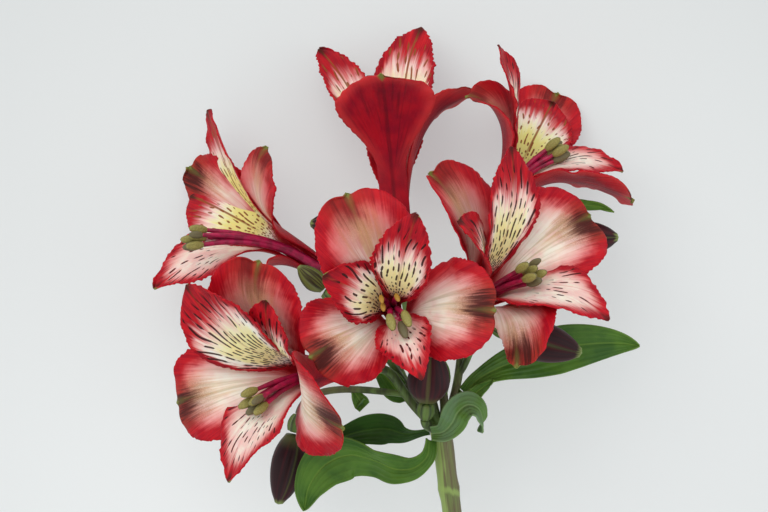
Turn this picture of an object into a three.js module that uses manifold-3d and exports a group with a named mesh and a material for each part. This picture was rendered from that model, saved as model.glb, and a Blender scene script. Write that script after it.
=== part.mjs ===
// A cut alstroemeria stem lying on its back: six open blooms, closed buds and a whorl of leaves.
// Millimetres, +Z up from the surface, +Y towards the flowers, +X to the right of the flower head.
import * as THREE from "three";
import Module from "manifold-3d";

const wasm = await Module();
wasm.setup();

// ---- driving dimensions

const restShift = [-3.76, 79.77, 0.8]; // puts the origin under the middle of the part, on the surface
const petalThickness = 0.7;
const leafThickness = 0.8;
const bladeRows = 7;
const bladeColumns = 4;
const bractRows = 3;
const fineSteps = 6; // steps along the midrib of a tepal for each row of it
const thinnestHalf = 0.6; // no blade is narrower than twice this
const gap = 0.3; // between pieces that touch

const ovary = { length: 7.5, radius: 3, ribs: 6, ribDepth: 0.1, swell: [0.6, 1, 0.8] };
const seat = { height: 2, radius: 3.5 }; // the disc that the six tepals grow from
const tube = { open: 0.3, settled: 0.62, curve: 0.62 }; // the claws stand in a round tube up to here
const budSwell = [0.45, 0.8, 1, 0.98, 0.84, 0.58, 0.2];
const budOvaryScale = 0.85;
const budLobeDepth = 0.07;

// Filaments rise along the axis (reach), hang towards the bottom tepal (drop) and lean aside (sway). Each
// ends in an anther, which nods. places: how far aside and upwards each spreads, its share of the length and
// the size of its anther.
const stamens = { foot: 1.5, footHeight: 1.4, reach: [0.4, 13, 25, 34], drop: [0, 1, 4.5, 10],
  sway: [0, 0, 0, 0], radius: 0.6, near: 0.7, spread: 2.6, opens: 2.2, stagger: 1.9, nod: 0,
  antherLength: 6.4, antherStart: 0.3, antherSwell: [0.5, 1, 0.5], antherRadius: 1.4,
  places: [[-1, 0.2, 1, 1], [-0.45, -0.2, 1.02, 1], [0.2, 0.35, 0.94, 1], [0.75, -0.1, 1, 1],
    [1, 0.55, 0.95, 0.8], [-0.6, 0.8, 0.9, 1]] };

// The stalk, from where the flower stalks part to the cut end, which lies on the surface.
const stalk = { radius: [3.4, 3, 3.1, 3.3, 3.2, 3.3, 3.2, 3.2], sides: 10, steps: 22,
  path: [[17.4, -53.2, 45.6], [18.7, -60, 43.6], [19.8, -69, 41], [21.5, -81, 37.6], [25, -118, 27.2],
    [29.5, -160, 14.6], [33.6, -200, 4.6], [37.2, -234, 2.4]] };
const stalkNodes = { width: 0.02,
  places: [{ at: 0.113, swell: 0.13 }, { at: 0.33, swell: 0.16 }, { at: 0.56, swell: 0.16 },
    { at: 0.8, swell: 0.18 }] };
const pedicel = { radius: 1.25, sides: 5, steps: 6, thin: 1, root: [17.6, -54.5, 45] };

// Each kind of tepal: its full length and width, how its width grows from the claw, and how far it leans away
// from the bloom's axis, in degrees at even steps from claw to tip.
const tepalKinds = {
  outer: { length: 58, width: 31, claw: 0.12, grows: 0.12, widest: 0.7, blunt: 2.4, sharp: 0.5, cup: 14,
    ring: 3.1, curl: [4, 9, 32, 64, 98], wave: 0.8 },
  upper: { length: 60, width: 19, claw: 0.16, grows: 0.26, widest: 0.72, blunt: 1.8, sharp: 0.7, cup: 20,
    ring: 2.3, curl: [2, 4, 16, 44, 62], wave: 0.7 },
  lower: { length: 55, width: 18, claw: 0.16, grows: 0.2, widest: 0.66, blunt: 1.5, sharp: 0.85, cup: 14,
    ring: 2.3, curl: [3, 8, 34, 62, 86], wave: 0.7 },
};

// The six tepals of a bloom: the kind, and the azimuth about the axis, clockwise from the top as seen from
// the front.
const tepalPlan = {
  median: ["outer", 0],
  rightUpper: ["upper", 42],
  leftUpper: ["upper", -42],
  rightLateral: ["outer", 108],
  leftLateral: ["outer", -108],
  bottom: ["lower", 180],
};

// seat: where the tepals grow from the ovary. faces: the axis. up: towards the median tepal.
// A tepal's own entry changes what its kind gives. shift: how far its blade is moved out of the claw's way.
// halves: the share of each half that shows, where the rest is rolled under.
const blooms = {
  bloom_front: { seat: [3.7, -19.8, 58], faces: [-0.05, 0.17, 0.98], up: [-0.309, 0.951, 0],
    stamens: { reach: [0.4, 12, 23, 31], drop: [0, 0.3, 2, 6.5], nod: 1.6,
      places: [[-0.5, 0.5, 1, 1], [0.9, 0.4, 1, 1], [0.3, -0.2, 1.03, 1], [-0.67, 2, 0.75, 0.55],
        [0.7, 1.7, 0.75, 0.55], [-0.75, 1.2, 0.7, 0.55]] },
    median: { azimuth: -4, length: 60 },
    rightUpper: { azimuth: 38, curl: [2, 4, 14, 43, 63], length: 62 },
    leftUpper: { azimuth: -52, length: 48, curl: [2, 5, 18, 44, 64] },
    rightLateral: { azimuth: 119, width: 32, length: 52, lean: -8, curl: [4, 11, 36, 66, 98],
      fold: [-8, -8] },
    leftLateral: { azimuth: -112, width: 32, length: 48, lean: 8, curl: [4, 11, 36, 66, 98],
      fold: [-16, -16] },
    bottom: { length: 50, curl: [2, 6, 26, 54, 82], azimuth: 176 } },
  bloom_lower_left: { seat: [-8.8, -35.2, 57], faces: [-0.79, -0.02, 0.62], up: [0.06, 0.98, 0.13],
    stalk: { leaving: [-0.77, 0.55, 0.1], rise: 0.6, run: 0.35 },
    stamens: { near: 0.5, spread: 2.2, drop: [0, 1, 4, 9] },
    median: { width: 32, length: 64, azimuth: 9, twist: -38, shift: [0, 0, -9] },
    leftUpper: { width: 28, length: 65, azimuth: -38, curl: [2, 6, 24, 54, 72], shift: [0, 0, 2] },
    rightUpper: { azimuth: 16, curl: [2, 4, 20, 56, 78], length: 52, width: 17, twist: -20 },
    leftLateral: { length: 63, azimuth: -113, curl: [4, 10, 34, 66, 98], fold: [-6, -6] },
    rightLateral: { azimuth: 104, curl: [4, 12, 46, 86, 108], length: 60, width: 32, twist: -26 },
    bottom: { width: 28, length: 60, curl: [3, 7, 29, 57, 80], shift: [0.4, -0.8, -0.5] } },
  bloom_mid_left: { seat: [-18.5, -5.4, 20], faces: [-0.8, 0.53, 0.22], up: [0.53, 0.84, 0],
    stalk: { leaving: [-0.7, 0.6, -0.3] },
    stamens: { reach: [0.4, 15, 31, 40], drop: [0, 1.5, 8, 14.5], sway: [0, 3, 8, 10], spread: 1.4 },
    median: { curl: [4, 5, 10, 44, 60, 88], length: 49, azimuth: 8, width: 25, twist: -38, fold: [-10, 0],
      shift: [-4, 1.5, 0], lean: 16, blunt: 1.8, sharp: 0.7 },
    leftUpper: { azimuth: -106, lean: 6, curl: [2, 6, 20, 42, 58], width: 26, length: 54, fold: [-8, -8] },
    rightUpper: { azimuth: -24, curl: [2, 6, 20, 40, 43], length: 66, twist: 4, shift: [-1.5, -0.5, -7] },
    leftLateral: { azimuth: -86, curl: [4, 10, 28, 44, 54], length: 58, width: 20, twist: 10,
      shift: [-1, 3, 1] },
    rightLateral: { azimuth: 156, curl: [4, 14, 60, 100, 120], length: 40, width: 20 },
    bottom: { length: 60, width: 24, azimuth: -178, curl: [3, 9, 35, 60, 78], twist: 34,
      shift: [0, -1, -2] } },
  bloom_right: { seat: [21.7, -23.3, 49.2], faces: [0.45, 0.6, 0.66], up: [-0.74, 0.67, -0.1],
    stalk: { leaving: [0.45, 0.9, 0.1] },
    stamens: { reach: [0.4, 13, 25, 35], drop: [0, 0.5, 4, 8.5] },
    median: { length: 60, curl: [4, 12, 36, 62, 92], azimuth: -2, fold: [20, 6] },
    rightUpper: { length: 67, azimuth: 34 },
    leftUpper: { length: 55, azimuth: -38, curl: [2, 4, 16, 44, 66] },
    rightLateral: { length: 62, azimuth: 103, width: 33 },
    leftLateral: { azimuth: -128, width: 29, length: 56, curl: [4, 12, 44, 86, 112], twist: -66,
      halves: [1, 0.35], fold: [-14, 0], lean: -5 },
    bottom: { width: 28, length: 64, azimuth: 184, curl: [3, 7, 30, 58, 84], shift: [0.3, -0.9, -0.3] } },
  bloom_top_right: { seat: [33.6, 8.9, 25], faces: [0.43, 0.87, 0.12], up: [-0.9, 0.44, 0],
    stalk: { leaving: [0.5, 0.85, -0.15] },
    stamens: { reach: [0.4, 12, 21, 28], drop: [0, 1, 4.2, 9], spread: 1.3 },
    median: { length: 49, curl: [4, 8, 22, 58, 116], azimuth: -6, twist: 26, fold: [24, 10], width: 25,
      blunt: 1.7, sharp: 0.8 },
    rightUpper: { azimuth: 92, curl: [2, 8, 26, 46, 64], length: 52, width: 24, fold: [-12, -12] },
    leftUpper: { azimuth: -12, curl: [2, 6, 20, 38, 44], length: 60, twist: 20 },
    rightLateral: { azimuth: 92, curl: [6, 16, 35, 46, 54], length: 57, width: 26 },
    leftLateral: { azimuth: -163, curl: [5, 19, 58, 80, 86], length: 53, width: 23, twist: 18 },
    bottom: { length: 52, width: 23, curl: [3, 7, 32, 66, 92], twist: -22, shift: [0, -1.5, 0] } },
  bloom_top_back: { seat: [4.5, 5.1, 30], faces: [-0.08, 0.985, -0.14], up: [-0.05, 0.17, 0.98],
    stamens: { reach: [0.4, 10, 18, 25], drop: [0, 0, -0.5, 0], near: 0.4, spread: 1.2 },
    median: { length: 61, width: 32, claw: 0.3, grows: 0.36, widest: 0.74, blunt: 1.3, sharp: 0.95,
      curl: [4, 9, 30, 54, 72] },
    rightUpper: { length: 71, azimuth: 118, curl: [2, 7, 17, 28, 40], twist: 38, width: 17 },
    leftUpper: { length: 73, azimuth: -132, curl: [2, 4, 9, 18, 34], twist: -40, width: 20 },
    leftLateral: { azimuth: -92, curl: [4, 9, 24, 50, 92], twist: 12, width: 15, fold: [10, 10] },
    rightLateral: { azimuth: 172, curl: [4, 9, 14, 18, 22], length: 44, width: 14 },
    bottom: { azimuth: 202, length: 50, curl: [3, 10, 18, 24, 30], width: 15 } },
};

// foot: the lower end of the ovary. faces: the way the bud points.
const buds = {
  bud_lower_left: { foot: [-27, -50, 33], faces: [-0.22, -0.95, -0.12], length: 23.5, radius: 5.8,
    ray: ["bloom_lower_left", 0.4], leaving: [-0.95, 0.1, -0.2] },
  bud_middle: { foot: [12.8, -51.1, 50.4], faces: [0.07, 0.9, 0.42], length: 19, radius: 6.4,
    ray: null, leaving: [-0.9, 0.1, 0.4] },
  bud_right: { foot: [33.8, -22.1, 42], faces: [0.95, -0.28, 0.05], length: 23, radius: 6.2,
    ray: ["bloom_top_right", 0.3], leaving: [0.65, 0.75, 0.1] },
  bud_far_right: { foot: [50.6, 5.2, 36], faces: [0.99, 0.03, 0], length: 17, radius: 5.2,
    ray: ["bloom_top_right", 0.6], leaving: [0.4, 0.9, 0.2] },
  bud_inner_left: { foot: [-13.8, -14.8, 40], faces: [-0.75, 0.66, 0.1], length: 11, radius: 3.4,
    ray: ["bloom_mid_left", 0.3], leaving: [-0.5, 0.7, 0.4] },
  bud_back_left: { foot: [-1.7, 8.5, 45], faces: [-0.98, 0.08, 0], length: 15, radius: 4.6,
    ray: ["bloom_top_back", 0.5], leaving: [-0.1, 0.9, 0.4] },
};

const leafForm = { claw: 0.3, grows: 0, widest: 0.45, blunt: 1.7, sharp: 0.8, cup: 20, fold: 0, wave: 0.6 };

// path: points along the midrib. roll: how far the blade turns about it, in degrees at even steps.
const leaves = {
  leaf_right: { width: 15.5, widest: 0.55, roll: [20, 0, -8, -5, 0],
    path: [[25.6, -43.2, 39], [29.4, -39.2, 38.4], [36.6, -35.3, 36], [46.2, -32.3, 33], [55.8, -29.5, 31],
      [65.6, -28, 30], [75.3, -27.8, 28], [81.7, -28.7, 27]] },
  leaf_lower_left: { width: 16, widest: 0.62, claw: 0.28, roll: [50, 10, 0, 50, 40, 10, 0, 0, 0],
    path: [[14.2, -57.4, 48.6], [13.4, -62.5, 50], [9.1, -66.2, 49.5], [3.4, -66.6, 48], [-2.8, -64.2, 46],
      [-10.7, -62.4, 45], [-18.5, -65.6, 43], [-23.6, -72.7, 41], [-25.2, -80.4, 39]] },
  leaf_curled: { width: 9, claw: 0.5, widest: 0.35, blunt: 3, sharp: 0.5, roll: [10, 0, 20, 60, 120],
    path: [[14.9, -55.4, 50.4], [18.3, -54.7, 52.5], [21.1, -51.8, 54.5], [22.9, -48.3, 56], [26, -46.1, 56],
      [29.1, -47.1, 55], [30.8, -51, 52], [29.6, -54.6, 49]] },
  leaf_back_left: { width: 10, roll: [60, 30, 0, 0, 0],
    path: [[14, -54.9, 43.2], [6.6, -56, 41], [1.3, -54.5, 40], [-5.1, -54.9, 38], [-12.3, -56.9, 36],
      [-18.7, -59.8, 35]] },
};

// Small leaves on the flower stalks. ray: the stalk each grows from, and how far along it.
const bracts = {
  behind_middle_bud: { ray: ["bloom_mid_left", 0.3], width: 8,
    path: [[5, -43.2, 40], [0.9, -38.4, 40], [-3.2, -33.4, 40]] },
  middle: { ray: ["bloom_right", 0.35], width: 5, path: [[18.6, -38.5, 46], [17, -33, 47], [15, -27.5, 47]] },
  hanging: { ray: ["bloom_right", 0.18], width: 3, path: [[23, -51, 48.5], [21.8, -55.8, 48]] },
  right: { ray: ["bloom_top_right", 0.22], width: 4.5,
    path: [[26, -44.6, 44], [30, -42, 44], [34.5, -38.8, 43.5]] },
  left: { ray: ["bud_lower_left", 0.4], width: 5, path: [[-6.8, -47, 40], [-10, -43.5, 40]] },
  far_right: { ray: ["bud_far_right", 0.8], width: 4.5,
    path: [[56, 15, 35], [67.5, 15.8, 34], [73, 14, 34]] },
};

// ---- curves and frames

const radians = THREE.MathUtils.degToRad;
const vector = (list) => new THREE.Vector3(...list);
const smooth = (x) => THREE.MathUtils.smoothstep(x, 0, 1);

// A value that runs smoothly through evenly spaced ones as t goes from 0 to 1.
function through(values, t) {
  const place = THREE.MathUtils.clamp(t, 0, 1) * (values.length - 1);
  const i = Math.min(Math.floor(place), values.length - 2);
  const x = place - i;
  const slopeIn = (values[i + 1] - values[Math.max(i - 1, 0)]) / 2;
  const slopeOut = (values[Math.min(i + 2, values.length - 1)] - values[i]) / 2;
  const rise = values[i + 1] - values[i];
  const square = 3 * rise - 2 * slopeIn - slopeOut;
  const cube = slopeIn + slopeOut - 2 * rise;
  return values[i] + x * (slopeIn + x * (square + x * cube));
}

// Two directions turned towards each other in their own plane.
function turned(a, b, angle) {
  const c = Math.cos(angle);
  const s = Math.sin(angle);
  const first = a.clone().multiplyScalar(c).addScaledVector(b, s);
  const second = b.clone().multiplyScalar(c).addScaledVector(a, -s);
  return [first, second];
}

// The axis, top and right hand of a bloom or bud, each at right angles to the others.
function frameOf(faces, up) {
  const axis = vector(faces).normalize();
  const top = vector(up).addScaledVector(axis, -vector(up).dot(axis)).normalize();
  return { axis, top, right: top.clone().cross(axis) };
}

// ---- blades: tepals and leaves are rows of cross-sections along a midrib

function halfWidth(form, t) {
  const grown = form.claw + (1 - form.claw) * smooth((t - form.grows) / (form.widest - form.grows));
  const past = Math.max(0, (t - form.widest) / (1 - form.widest));
  const end = Math.pow(Math.max(1 - Math.pow(past, form.blunt), 0), form.sharp);
  return Math.max((form.width / 2) * grown * end, thinnestHalf);
}

// A point of a cross-section, u from -1 to 1 across it.
function across(row, u) {
  const bend = row.cup || 1e-6;
  const fold = u < 0 ? row.fold[0] : row.fold[1];
  const half = row.half * (u < 0 ? row.halves[0] : row.halves[1]);
  const x = (half * Math.sin(bend * u)) / bend;
  const z = (half * (1 - Math.cos(bend * u))) / bend;
  const ripple = row.wave * Math.pow(Math.abs(u), 3) * Math.sin(row.phase + (u < 0 ? 1.7 : 0));
  return row.centre
    .clone()
    .addScaledVector(row.side, x * Math.cos(fold))
    .addScaledVector(row.normal, z + Math.abs(x) * Math.sin(fold) + ripple);
}

function tepalRows(bloom, name) {
  const [kind, azimuth] = tepalPlan[name];
  const plain = { lean: 0, twist: 0, fold: [0, 0], shift: [0, 0, 0], halves: [1, 1], azimuth };
  const form = { ...plain, ...tepalKinds[kind], ...(bloom[name] || {}) };
  const { axis, top, right } = frameOf(bloom.faces, bloom.up);
  const [outward] = turned(top, right, radians(form.azimuth));
  const centre = vector(bloom.seat).addScaledVector(outward, form.ring).addScaledVector(axis, gap);
  const step = form.length / (bladeRows * fineSteps);
  const rows = [];
  for (let i = 0; i <= bladeRows * fineSteps; i++) {
    const t = i / (bladeRows * fineSteps);
    const [along0, normal0] = turned(axis, outward, radians(through(form.curl, t)));
    const face0 = normal0.multiplyScalar(-1);
    const side0 = along0.clone().cross(face0);
    const [along, side1] = turned(along0, side0, radians(form.lean) * t);
    const [side, normal] = turned(side1, face0, radians(form.twist) * smooth((t - 0.2) / 0.7));
    const open = smooth((t - tube.open) / (tube.settled - tube.open));
    if (i % fineSteps === 0)
      rows.push({
        centre: centre.clone().addScaledVector(vector(form.shift), smooth((t - 0.15) / 0.5)),
        side,
        normal,
        half: halfWidth(form, t),
        halves: form.halves,
        cup: THREE.MathUtils.lerp(tube.curve, radians(form.cup), open),
        fold: form.fold.map((angle) => radians(angle) * open),
        wave: form.wave * open,
        phase: 16 * t + form.azimuth,
      });
    centre.addScaledVector(along, step);
  }
  return rows;
}

// A closed sheet of even thickness over a grid of points, with its triangles alike on both faces.
function sheet(grid, thickness) {
  const rows = grid.length;
  const columns = grid[0].length;
  const points = [];
  const faces = [];
  const at = (i, j) => grid[THREE.MathUtils.clamp(i, 0, rows - 1)][THREE.MathUtils.clamp(j, 0, columns - 1)];
  for (const face of [0.5, -0.5])
    for (let i = 0; i < rows; i++)
      for (let j = 0; j < columns; j++) {
        const sideways = at(i, j + 1).clone().sub(at(i, j - 1));
        const along = at(i + 1, j).clone().sub(at(i - 1, j));
        points.push(at(i, j).clone().addScaledVector(sideways.cross(along).normalize(), thickness * face));
      }
  const id = (i, j, under) => under * rows * columns + i * columns + j;
  const quad = (a, b, c, d) => faces.push(a, b, c, a, c, d);
  for (let i = 0; i < rows - 1; i++)
    for (let j = 0; j < columns - 1; j++) {
      quad(id(i, j, 0), id(i, j + 1, 0), id(i + 1, j + 1, 0), id(i + 1, j, 0));
      faces.push(id(i, j, 1), id(i + 1, j + 1, 1), id(i, j + 1, 1));
      faces.push(id(i, j, 1), id(i + 1, j, 1), id(i + 1, j + 1, 1));
    }
  for (let i = 0; i < rows - 1; i++) {
    quad(id(i, 0, 0), id(i + 1, 0, 0), id(i + 1, 0, 1), id(i, 0, 1));
    quad(id(i + 1, columns - 1, 0), id(i, columns - 1, 0), id(i, columns - 1, 1), id(i + 1, columns - 1, 1));
  }
  for (let j = 0; j < columns - 1; j++) {
    quad(id(0, j + 1, 0), id(0, j, 0), id(0, j, 1), id(0, j + 1, 1));
    quad(id(rows - 1, j, 0), id(rows - 1, j + 1, 0), id(rows - 1, j + 1, 1), id(rows - 1, j, 1));
  }
  return closed(points, faces);
}

function closed(points, faces) {
  const geometry = new THREE.BufferGeometry().setFromPoints(points);
  geometry.setIndex(faces);
  return geometry;
}

function blade(rows, thickness) {
  const spread = Array.from({ length: bladeColumns + 1 }, (_, j) => (2 * j) / bladeColumns - 1);
  return sheet(rows.map((row) => spread.map((u) => across(row, u))), thickness);
}

// ---- round pieces: rings swept along a curve, closed at both ends

function swept(curve, steps, sides, radiusAt) {
  const points = [];
  const faces = [];
  const frames = curve.computeFrenetFrames(steps);
  for (let i = 0; i <= steps; i++) {
    const centre = curve.getPointAt(i / steps);
    const first = frames.normals[i];
    const second = frames.binormals[i];
    for (let j = 0; j < sides; j++) {
      const angle = (2 * Math.PI * j) / sides;
      const radius = radiusAt(i / steps, angle);
      const point = centre.clone().addScaledVector(first, radius * Math.cos(angle));
      points.push(point.addScaledVector(second, radius * Math.sin(angle)));
    }
  }
  points.push(curve.getPointAt(0), curve.getPointAt(1));
  for (let j = 0; j < sides; j++) {
    const k = (j + 1) % sides;
    for (let i = 0; i < steps; i++) {
      faces.push(i * sides + j, i * sides + k, (i + 1) * sides + k);
      faces.push(i * sides + j, (i + 1) * sides + k, (i + 1) * sides + j);
    }
    faces.push(points.length - 2, k, j);
    faces.push(points.length - 1, steps * sides + j, steps * sides + k);
  }
  return closed(points, faces);
}

function straight(from, axis, length) {
  return new THREE.LineCurve3(from.clone(), from.clone().addScaledVector(axis, length));
}

// ---- joins

function solidOf(geometry) {
  const mesh = new wasm.Mesh({
    numProp: 3,
    vertProperties: geometry.attributes.position.array,
    triVerts: new Uint32Array(geometry.index.array),
  });
  return new wasm.Manifold(mesh);
}

function fused(geometries) {
  const whole = geometries.map(solidOf).reduce((sum, piece) => sum.add(piece));
  const { vertProperties, triVerts, numProp } = whole.getMesh();
  if (numProp !== 3) throw new Error("a join gave more than positions");
  const geometry = new THREE.BufferGeometry();
  geometry.setAttribute("position", new THREE.BufferAttribute(vertProperties, 3));
  geometry.setIndex(new THREE.BufferAttribute(triVerts, 1));
  return geometry;
}

// ---- the plant

const finishes = {
  petals: { color: 0xc8303a, roughness: 0.6, metalness: 0 },
  stamens: { color: 0xa0204a, roughness: 0.6, metalness: 0 },
  ovary: { color: 0x6d7f3a, roughness: 0.6, metalness: 0 },
  bud: { color: 0x3a1218, roughness: 0.5, metalness: 0 },
  leaf: { color: 0x3f6b24, roughness: 0.55, metalness: 0 },
  stem: { color: 0x7d8450, roughness: 0.6, metalness: 0 },
};

const plant = new THREE.Group();

function add(name, geometry, finish) {
  geometry.computeVertexNormals();
  const mesh = new THREE.Mesh(geometry, new THREE.MeshStandardMaterial(finishes[finish]));
  mesh.name = name;
  plant.add(mesh);
}

function petalsOf(bloom) {
  const { axis } = frameOf(bloom.faces, bloom.up);
  const disc = swept(straight(vector(bloom.seat), axis, seat.height), 1, 12, () => seat.radius);
  const tepals = Object.keys(tepalPlan).map((name) => blade(tepalRows(bloom, name), petalThickness));
  return fused([disc, ...tepals]);
}

function ovaryOf(foot, axis, scale) {
  const ribs = (t, angle) =>
    scale * ovary.radius * through(ovary.swell, t) * (1 + ovary.ribDepth * Math.cos(ovary.ribs * angle));
  return swept(straight(foot, axis, scale * ovary.length), 2, 2 * ovary.ribs, ribs);
}

function stamensOf(bloom) {
  const form = { ...stamens, ...bloom.stamens };
  const { axis, top, right } = frameOf(bloom.faces, bloom.up);
  const foot = vector(bloom.seat).addScaledVector(axis, seat.height + gap);
  const pieces = [swept(straight(foot, axis, form.footHeight), 1, 6, () => form.foot)];
  for (const [aside, upwards, share, size] of form.places) {
    const points = form.reach.map((reach, i) => {
      const out = i / (form.reach.length - 1);
      const apart = form.near + form.spread * Math.pow(out, form.opens);
      return foot
        .clone()
        .addScaledVector(axis, reach * share + form.stagger * Math.min(upwards, 1) * i)
        .addScaledVector(top, apart * upwards - form.drop[i] * share * share)
        .addScaledVector(right, apart * aside + form.sway[i] * share);
    });
    const curve = new THREE.CatmullRomCurve3(points);
    const tip = points[points.length - 1];
    const pointing = tip.clone().sub(points[points.length - 2]).normalize();
    pointing.addScaledVector(top, -form.nod).normalize();
    pieces.push(swept(curve, 3, 3, () => form.radius));
    const length = size * form.antherLength;
    const start = tip.clone().addScaledVector(pointing, -length * form.antherStart);
    const swell = (t) => size * form.antherRadius * through(form.antherSwell, t);
    pieces.push(swept(straight(start, pointing, length), 2, 4, swell));
  }
  return fused(pieces);
}

function budOf(bud, axis) {
  const foot = vector(bud.foot).addScaledVector(axis, budOvaryScale * ovary.length + gap);
  const lobes = (t, angle) => bud.radius * through(budSwell, t) * (1 + budLobeDepth * Math.cos(3 * angle));
  return swept(straight(foot, axis, bud.length), 6, 9, lobes);
}

function leafRows(leaf) {
  const form = { ...leafForm, ...leaf };
  const curve = new THREE.CatmullRomCurve3(form.path.map(vector), false, "centripetal");
  const rows = form.rows || bladeRows;
  return Array.from({ length: rows + 1 }, (_, i) => {
    const t = i / rows;
    const along = curve.getTangentAt(t);
    const flat = along.clone().cross(new THREE.Vector3(0, 0, 1)).normalize();
    const [side, normal] = turned(flat, flat.clone().cross(along), radians(through(form.roll, t)));
    return {
      centre: curve.getPointAt(t),
      side,
      normal,
      half: halfWidth(form, t),
      halves: [1, 1],
      cup: radians(form.cup),
      fold: [radians(form.fold), radians(form.fold)],
      wave: form.wave,
      phase: 14 * t,
    };
  });
}

function stalkOf() {
  const curve = new THREE.CatmullRomCurve3(stalk.path.map(vector));
  const ridge = (t, node) => node.swell * Math.exp(-(((t - node.at) / stalkNodes.width) ** 2));
  const bulge = (t) => stalkNodes.places.reduce((sum, node) => sum + ridge(t, node), 1);
  return swept(curve, stalk.steps, stalk.sides, (t) => through(stalk.radius, t) * bulge(t));
}

const rays = {};
const stemPieces = [stalkOf()];

// Where a flower stalk or bract starts: on another flower stalk, or at the top of the stem.
const startOf = (ray) => (ray ? rays[ray[0]].getPoint(ray[1]) : vector(pedicel.root));

// A flower stalk that meets the foot of an ovary along the axis of its bloom or bud.
function addPedicel(name, foot, axis, { ray = null, leaving = null, rise = 0.35, run = 0.3 } = {}) {
  const root = startOf(ray);
  const span = root.distanceTo(foot);
  const end = foot.clone().addScaledVector(axis, -gap);
  const away = (leaving ? vector(leaving) : end.clone().sub(root)).normalize();
  rays[name] = new THREE.CubicBezierCurve3(
    root,
    root.clone().addScaledVector(away, span * rise),
    end.clone().addScaledVector(axis, -span * run),
    end,
  );
  const radius = ray ? pedicel.thin : pedicel.radius;
  stemPieces.push(swept(rays[name], pedicel.steps, pedicel.sides, () => radius));
}

for (const [name, bloom] of Object.entries(blooms)) {
  const { axis } = frameOf(bloom.faces, bloom.up);
  const foot = vector(bloom.seat).addScaledVector(axis, -(ovary.length + gap));
  add(name + "_petals", petalsOf(bloom), "petals");
  add(name + "_ovary", ovaryOf(foot, axis, 1), "ovary");
  add(name + "_stamens", stamensOf(bloom), "stamens");
  addPedicel(name, foot, axis, bloom.stalk);
}

for (const [name, bud] of Object.entries(buds)) {
  const axis = vector(bud.faces).normalize();
  add(name, budOf(bud, axis), "bud");
  add(name + "_ovary", ovaryOf(vector(bud.foot), axis, budOvaryScale), "ovary");
  addPedicel(name, vector(bud.foot), axis, bud);
}

for (const bract of Object.values(bracts)) {
  const path = [startOf(bract.ray).toArray(), ...bract.path];
  stemPieces.push(blade(leafRows({ roll: [0, 0], ...bract, path, rows: bractRows }), leafThickness));
}

for (const [name, leaf] of Object.entries(leaves)) add(name, blade(leafRows(leaf), leafThickness), "leaf");

add("stem", fused(stemPieces), "stem");

plant.position.set(...restShift);
export default plant;
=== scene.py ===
import math

import bpy
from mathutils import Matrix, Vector, noise


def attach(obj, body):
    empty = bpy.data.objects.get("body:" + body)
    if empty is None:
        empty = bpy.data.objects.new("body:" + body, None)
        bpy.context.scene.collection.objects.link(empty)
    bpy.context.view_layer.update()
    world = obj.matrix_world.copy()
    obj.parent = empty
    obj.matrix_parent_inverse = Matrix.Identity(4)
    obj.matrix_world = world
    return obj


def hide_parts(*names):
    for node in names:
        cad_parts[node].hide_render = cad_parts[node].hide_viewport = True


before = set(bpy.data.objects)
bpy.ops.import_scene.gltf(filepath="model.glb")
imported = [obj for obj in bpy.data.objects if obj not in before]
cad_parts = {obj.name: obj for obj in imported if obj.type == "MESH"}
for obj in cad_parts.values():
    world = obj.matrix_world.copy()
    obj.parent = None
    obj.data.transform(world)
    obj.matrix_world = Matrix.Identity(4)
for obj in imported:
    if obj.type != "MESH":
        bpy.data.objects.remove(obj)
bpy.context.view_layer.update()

millimetre = 0.001
restShift = Vector((-3.76, 79.77, 0.8))  # from the drawing's origin to the middle of the stem, on the surface
tiny = 1e-6


def smooth(x, low=0.0, high=1.0):
    x = min(max((x - low) / (high - low), 0.0), 1.0)
    return x * x * (3 - 2 * x)


def through(values, t):  # runs smoothly through evenly spaced values
    place = min(max(t, 0.0), 1.0) * (len(values) - 1)
    i = min(int(place), len(values) - 2)
    x = place - i
    slopeIn = (values[i + 1] - values[max(i - 1, 0)]) / 2
    slopeOut = (values[min(i + 2, len(values) - 1)] - values[i]) / 2
    rise = values[i + 1] - values[i]
    bend = 3 * rise - 2 * slopeIn - slopeOut
    return values[i] + x * (slopeIn + x * (bend + x * (slopeIn + slopeOut - 2 * rise)))


def bell(x, width):  # 1 in the middle, dying away
    return math.exp(-(x / width) ** 2)


def turned(a, b, angle):  # two directions turned towards each other
    c, s = math.cos(angle), math.sin(angle)
    return a * c + b * s, b * c - a * s


def placed(point):  # drawing millimetres to metres on the surface
    return (Vector(point) + restShift) * millimetre


def frameOf(faces, up):
    axis = Vector(faces).normalized()
    top = Vector(up)
    top = (top - axis * top.dot(axis)).normalized()
    return axis, top, top.cross(axis)


def sideways(axis):  # two directions across an axis, right-handed with it
    helper = Vector((0, 0, 1)) if abs(axis.z) < 0.9 else Vector((0, 1, 0))
    first = helper.cross(axis).normalized()
    return first, axis.cross(first)


def arched(half, bend, u):  # a place across a blade that is curved like a gutter
    return half * math.sin(bend * u) / bend, half * (1 - math.cos(bend * u)) / bend


def rough(*place):  # a fixed noise value from -1 to 1
    return noise.noise(Vector(place))


def tint(code):  # a screen colour as linear light
    parts = [((code >> shift) & 255) / 255 for shift in (16, 8, 0)]
    return tuple(p / 12.92 if p <= 0.04045 else ((p + 0.055) / 1.055) ** 2.4 for p in parts) + (1.0,)


def tints(**codes):
    return {name: tint(code) for name, code in codes.items()}


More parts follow.
